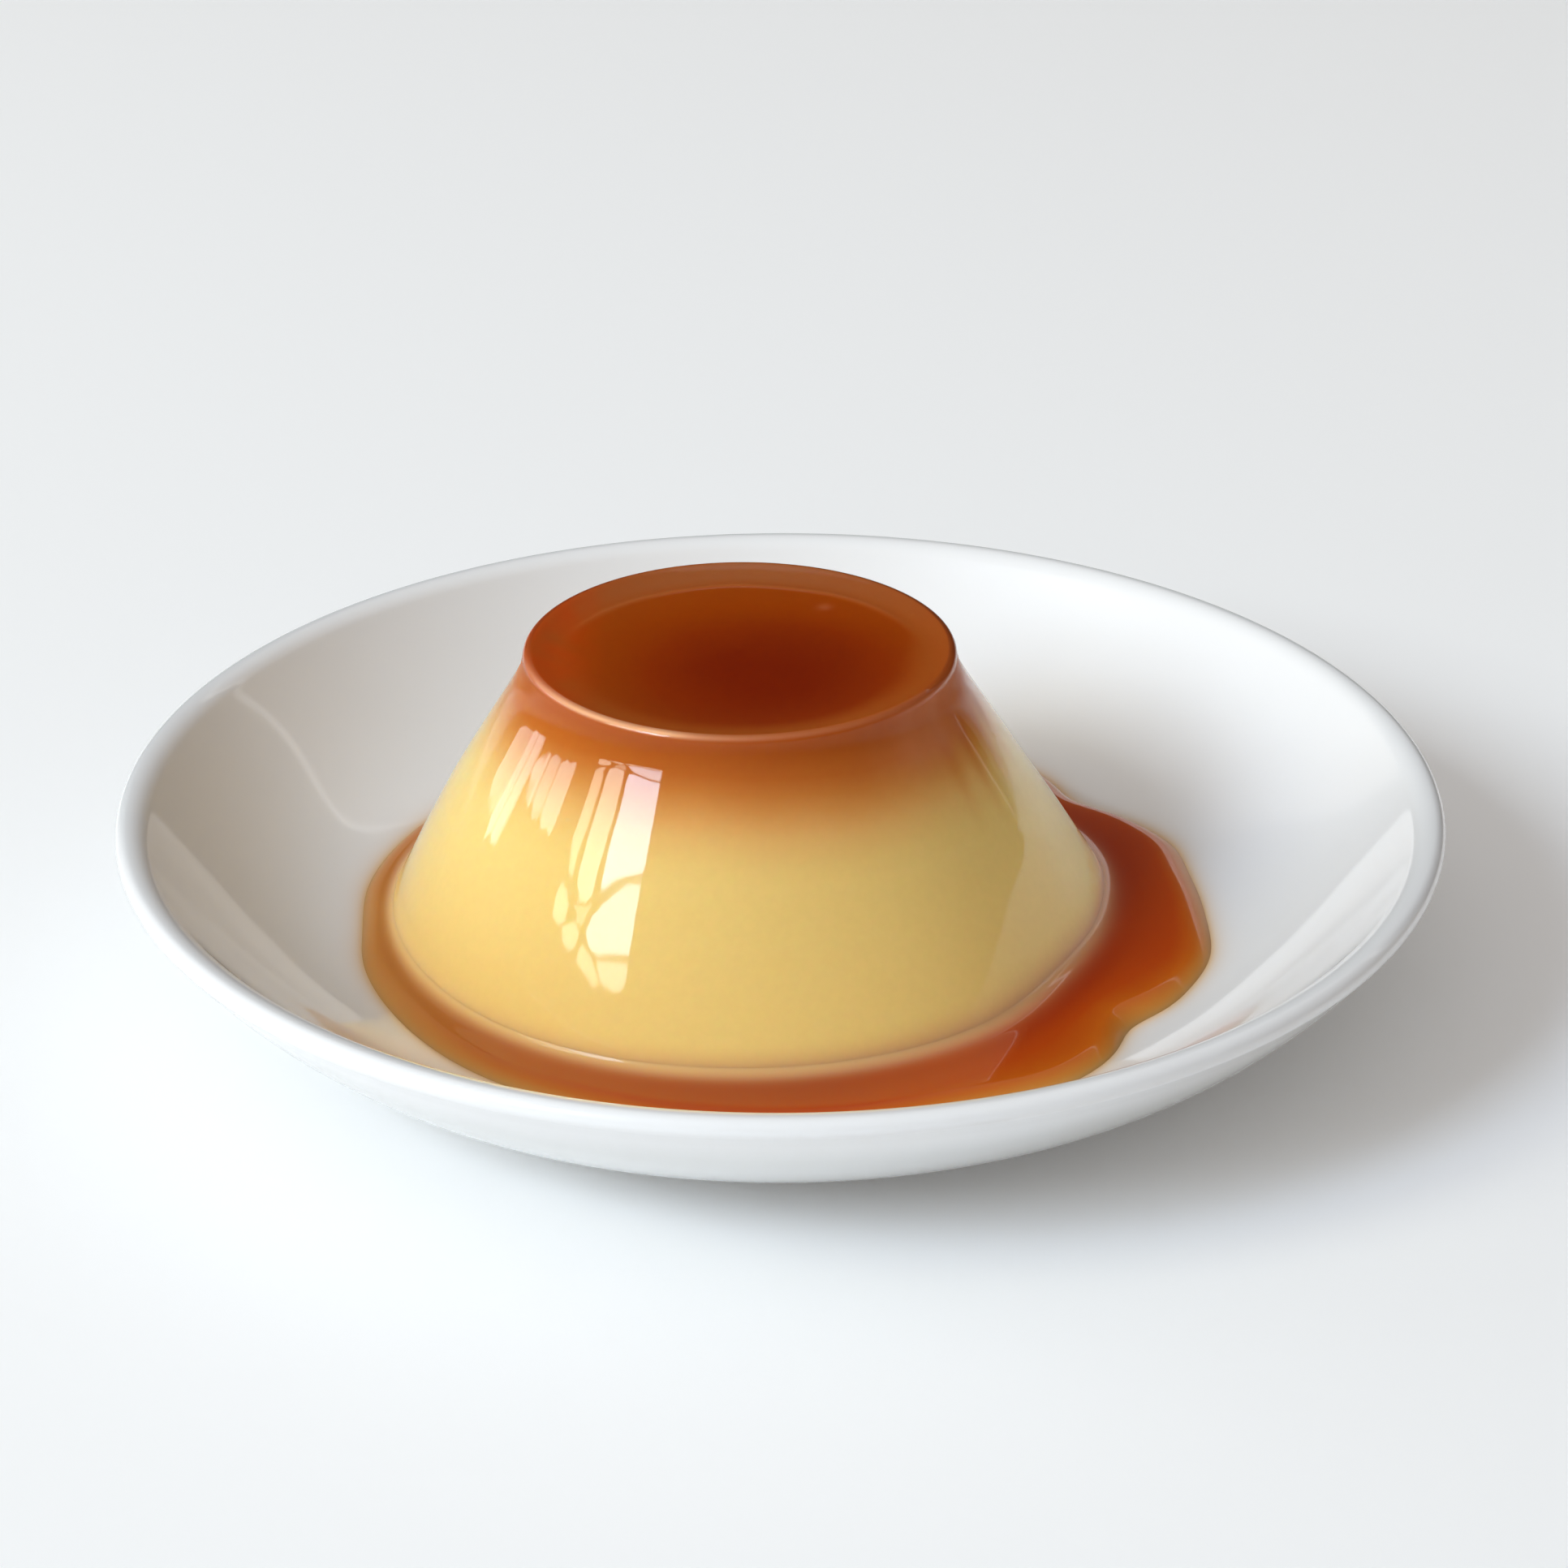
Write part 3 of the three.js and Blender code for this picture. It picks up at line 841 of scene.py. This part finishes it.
def make_floor():
    corners = [(x * FLOOR_HALF, y * FLOOR_HALF, 0) for x, y in ((-1, -1), (1, -1), (1, 1), (-1, 1))]
    mesh = bpy.data.meshes.new("floor")
    mesh.from_pydata(corners, [], [(0, 1, 2, 3)])
    obj = link_object("floor", mesh)
    obj.location.z = -FLOOR_DROP
    material, tree, shader = new_material("floor_white")
    place = tree.nodes.new("ShaderNodeTexCoord")
    distance = vector_node(tree, "DISTANCE", place.outputs["Object"], FLOOR_LIGHT_POOL_CENTRE)
    # painted falloff of light, lightest near the dish
    painted_light_pool = ramp(tree, distance, [(0.35, grey(0.90)), (0.85, grey(0.34))])
    tree.links.new(painted_light_pool, shader.inputs["Base Color"])
    set_values(shader, {
        "Roughness": 0.9, "Specular IOR Level": 0.1,
        "Emission Color": WHITE, "Emission Strength": 0.05,
    })
    obj.data.materials.append(material)


# ---- Windows ----
# Far-off lit panes that the glossy surfaces mirror. Each is its radiance, how cool its light is, and its
# corners as azimuth and elevation in degrees, seen from the object.
LIGHT_DISTANCE = 2.4
HAZE_DISTANCE = 1.02 * LIGHT_DISTANCE  # behind the side window's panes
LIGHT_TARGET = Vector((0, 0, 0.02))
WARM_LIGHT = (1.02, 1.0, 0.82, 1)
COOL_LIGHT = (0.76, 0.92, 1.12, 1)

WINDOW_PANES = [
    # Three tall panes.
    (19, 1.0, [(-130.4, 44), (-130.4, 31.2), (-134.9, 30.3), (-140.1, 28.8), (-144.5, 27.5), (-146.3, 27.1),
               (-147.6, 28.6), (-147.6, 44)]),
    (12.5, 0.2, [(-149.5, 44), (-149.5, 26.9), (-149.2, 26.0), (-150.9, 25.0), (-153.9, 24.3), (-157.1, 24.7),
                 (-158.4, 26.5), (-158.4, 44)]),
    (10, 0.0, [(-159.7, 44), (-160.0, 26.1), (-160.5, 24.8), (-159.1, 24.0), (-161.6, 23.5), (-164.9, 23.9),
               (-165.2, 44)]),
    # A large pane below them, and one at its foot.
    (16, 0.8, [(-130.4, 30.7), (-129.9, 29.4), (-129.3, 26.8), (-129.0, 25.5), (-133.5, 24.7), (-137.2, 24.0),
               (-140.6, 23.1), (-143.8, 22.7), (-147.0, 22.8), (-146.8, 23.4), (-145.8, 24.7), (-143.8, 26.8),
               (-139.9, 28.35), (-134.9, 29.8)]),
    (11, 0.3, [(-129.0, 25.1), (-128.6, 24.3), (-130.4, 23.6), (-132.7, 23.0), (-135.4, 22.5), (-137.5, 22.3),
               (-140.0, 22.5), (-140.4, 22.8), (-137.2, 23.6), (-133.5, 24.3)]),
    # Small panes beside and below those.
    (10, 0.0, [(-162.9, 22.5), (-159.7, 23.1), (-156.7, 23.2), (-156.5, 20.8), (-158.4, 19.9), (-161.1, 19.3),
               (-162.6, 19.4), (-163.7, 21.7)]),
    (10, 0.0, [(-157.0, 20.2), (-154.6, 21.2), (-152.0, 22.1), (-149.4, 22.0), (-149.8, 20.9), (-151.7, 20.3),
               (-154.8, 20.0)]),
    (10, 0.0, [(-148.4, 20.9), (-147.6, 21.9), (-145.3, 22.2), (-141.7, 22.3), (-137.9, 22.2), (-139.6, 21.6),
               (-144.3, 21.1)]),
    (7, 0.0, [(-155.1, 23.7), (-150.7, 24.8), (-148.1, 25.7), (-148.6, 23.3), (-149.5, 22.4),
              (-152.1, 22.3)]),
]
SIDE_WINDOW_PANES = [
    (8.5, 0.5, [(-197.0, 19), (-197.2, 12.5), (-195.1, 13.1), (-192.9, 14.2), (-191.2, 14.4), (-190.2, 21)]),
    (7.5, 0.5, [(-189.4, 21), (-190.0, 15.3), (-187.2, 15.9), (-185.6, 17.0), (-184.9, 17.0), (-183.9, 22)]),
    (8.5, 0.5, [(-183.2, 22), (-183.9, 17.7), (-180.8, 18.3), (-178.6, 19.4), (-175.6, 19.9), (-175.4, 25)]),
    (7.0, 0.5, [(-198.0, 14), (-198.4, 9.4), (-200.2, 8.3), (-202.2, 7.6), (-202.7, 14)]),
    (6.5, 0.5, [(-203.1, 14), (-203.0, 7.3), (-204.7, 6.2), (-206.6, 6.6), (-206.4, 13)]),
    (3.5, 0.5, [(-207.5, 12), (-207.5, 6), (-213, 3.5), (-217, 2.5), (-218, 10)]),
]
SIDE_HAZE_PANES = [
    (5.0, 0.5, [(-197.0, 19), (-190.2, 21), (-183.9, 22), (-175.4, 25), (-175.6, 19.9), (-178.6, 19.4),
                (-180.8, 18.3), (-183.9, 17.7), (-184.9, 17.0), (-187.2, 15.9), (-190.0, 15.3),
                (-191.2, 14.4), (-195.1, 13.1), (-197.2, 12.5)]),
    (4.5, 0.5, [(-197.1, 19), (-197.3, 9.6), (-200.2, 8.3), (-203.0, 7.3), (-204.7, 6.2), (-207.5, 6.2),
                (-207.5, 12.5), (-202.7, 15.5), (-200.0, 17.5)]),
]


def direction(azimuth, elevation):
    a, e = math.radians(azimuth), math.radians(elevation)
    return Vector((math.cos(a) * math.cos(e), math.sin(a) * math.cos(e), math.sin(e)))


def window(name, panes, distance):
    """All panes as one lit mesh, with one face for each."""
    verts, faces, shine, cool = [], [], [], []
    for radiance, coolness, corners in panes:
        faces.append(tuple(range(len(verts), len(verts) + len(corners))))
        verts += [tuple(LIGHT_TARGET + direction(a, e) * distance) for a, e in corners]
        shine += [radiance] * len(corners)
        cool += [coolness] * len(corners)
    mesh = bpy.data.meshes.new(name)
    mesh.from_pydata(verts, [], faces)
    add_values(mesh, {"shine": shine, "cool": cool})
    obj = link_object(name, mesh)
    material, tree, shader = new_material(name)
    set_values(shader, {"Base Color": BLACK, "Specular IOR Level": 0})
    light = mix(tree, attribute(tree, "cool"), WARM_LIGHT, COOL_LIGHT)
    tree.links.new(light, shader.inputs["Emission Color"])
    tree.links.new(attribute(tree, "shine"), shader.inputs["Emission Strength"])
    obj.data.materials.append(material)


# ---- Room ----
BRIGHT_SIDE = direction(-148, 20)  # towards the main window

# The dark doorway behind the object is an oval in the sky's x and z.
DOORWAY_X = 0.13
DOORWAY_HALF_WIDTH = 0.66
DOORWAY_HALF_HEIGHT = 0.60
DOORWAY_POWER = 4  # how square the oval is


def room_light(tree, sky, z):
    """Soft light from all round, stronger from above and from the window's side."""
    ambient = ramp(tree, z, [
        (0.0, (0.31, 0.30, 0.285, 1)),
        (0.5, grey(0.36)),
        (1.0, (0.51, 0.525, 0.545, 1)),
    ])
    facing = vector_node(tree, "DOT_PRODUCT", sky, BRIGHT_SIDE)
    share = math_node(tree, "MULTIPLY_ADD", facing, 0.5, 0.5)
    sided = ramp(tree, share, [(0.0, (0.52, 0.455, 0.375, 1)), (1.0, (1.64, 1.56, 1.50, 1))])
    return multiply(tree, ambient, sided)


def oval_part(tree, offset, half):
    share = math_node(tree, "DIVIDE", math_node(tree, "ABSOLUTE", offset), half)
    return math_node(tree, "POWER", share, DOORWAY_POWER)


def add_doorway(tree, colour, x, y, z):
    """The room's colour with the doorway in it, whose edge is brightest high up on the right."""
    across = oval_part(tree, math_node(tree, "SUBTRACT", x, DOORWAY_X), DOORWAY_HALF_WIDTH)
    upward = oval_part(tree, z, DOORWAY_HALF_HEIGHT)
    oval = math_node(tree, "MULTIPLY", math_node(tree, "ADD", across, upward), 0.5)  # 0.5 at its edge
    behind = ramp(tree, y, [(0.0, BLACK), (0.05, WHITE)])
    inside = ramp(tree, oval, [(0.46, WHITE), (0.50, BLACK)])
    edge = ramp(tree, oval, [(0.49, BLACK), (0.505, WHITE), (0.525, WHITE), (0.54, BLACK)])
    right_side = ramp(tree, x, [(0.0, BLACK), (0.3, WHITE)])
    high_up = ramp(tree, z, [(0.30, grey(0.3)), (0.42, grey(1.2))])
    edge_light = mix(tree, 1.0, multiply(tree, right_side, high_up), grey(0.35), "ADD")
    colour = mix(tree, multiply(tree, inside, behind), colour, grey(0.02))
    return mix(tree, multiply(tree, edge, behind), colour, edge_light)


def make_world():
    world = bpy.data.worlds.new("soft_room")
    world.use_nodes = True
    tree = world.node_tree
    tree.nodes.clear()
    output = tree.nodes.new("ShaderNodeOutputWorld")
    background = tree.nodes.new("ShaderNodeBackground")
    sky = tree.nodes.new("ShaderNodeTexCoord").outputs["Generated"]
    axes = tree.nodes.new("ShaderNodeSeparateXYZ")
    tree.links.new(sky, axes.inputs[0])
    x, y, z = axes.outputs
    colour = add_doorway(tree, room_light(tree, sky, z), x, y, z)
    tree.links.new(colour, background.inputs["Color"])
    tree.links.new(background.outputs[0], output.inputs["Surface"])
    bpy.context.scene.world = world


# ---- Camera: the photo's, fitted to the outlines of the dish's rim, the pudding's top and its base ----
PHOTO_PIXELS = 1932
FOCAL_PIXELS = 4965.84
SENSOR_WIDTH = 36  # in Blender's millimetres of film
CAMERA_PLACE = Vector((0, -0.4113873, 0.2252825))
CAMERA_PITCH = 0.4567  # radians, as are the next two
CAMERA_ROLL = -0.0022
CAMERA_YAW = 0.001
CLIP_RANGE = (0.01, 50)


def make_camera():
    pitch, roll, yaw = CAMERA_PITCH, CAMERA_ROLL, CAMERA_YAW
    forward = Vector((math.sin(yaw) * math.cos(pitch), math.cos(yaw) * math.cos(pitch), -math.sin(pitch)))
    right = Vector((math.cos(yaw), -math.sin(yaw), 0))
    up = right.cross(forward)
    turned_right = math.cos(roll) * right + math.sin(roll) * up
    turned_up = -math.sin(roll) * right + math.cos(roll) * up
    data = bpy.data.cameras.new("camera")
    data.sensor_width = SENSOR_WIDTH
    data.lens = SENSOR_WIDTH * FOCAL_PIXELS / PHOTO_PIXELS
    data.clip_start, data.clip_end = CLIP_RANGE
    camera = link_object("camera", data)
    matrix = Matrix((turned_right, turned_up, -forward)).transposed().to_4x4()
    matrix.translation = CAMERA_PLACE
    camera.matrix_world = matrix
    bpy.context.scene.camera = camera


make_floor()
make_world()
window("window", WINDOW_PANES, LIGHT_DISTANCE)
window("side_window", SIDE_WINDOW_PANES, LIGHT_DISTANCE)
window("side_haze", SIDE_HAZE_PANES, HAZE_DISTANCE)
make_camera()
scene = bpy.context.scene
scene.view_settings.view_transform = "Standard"
scene.view_settings.look = "None"
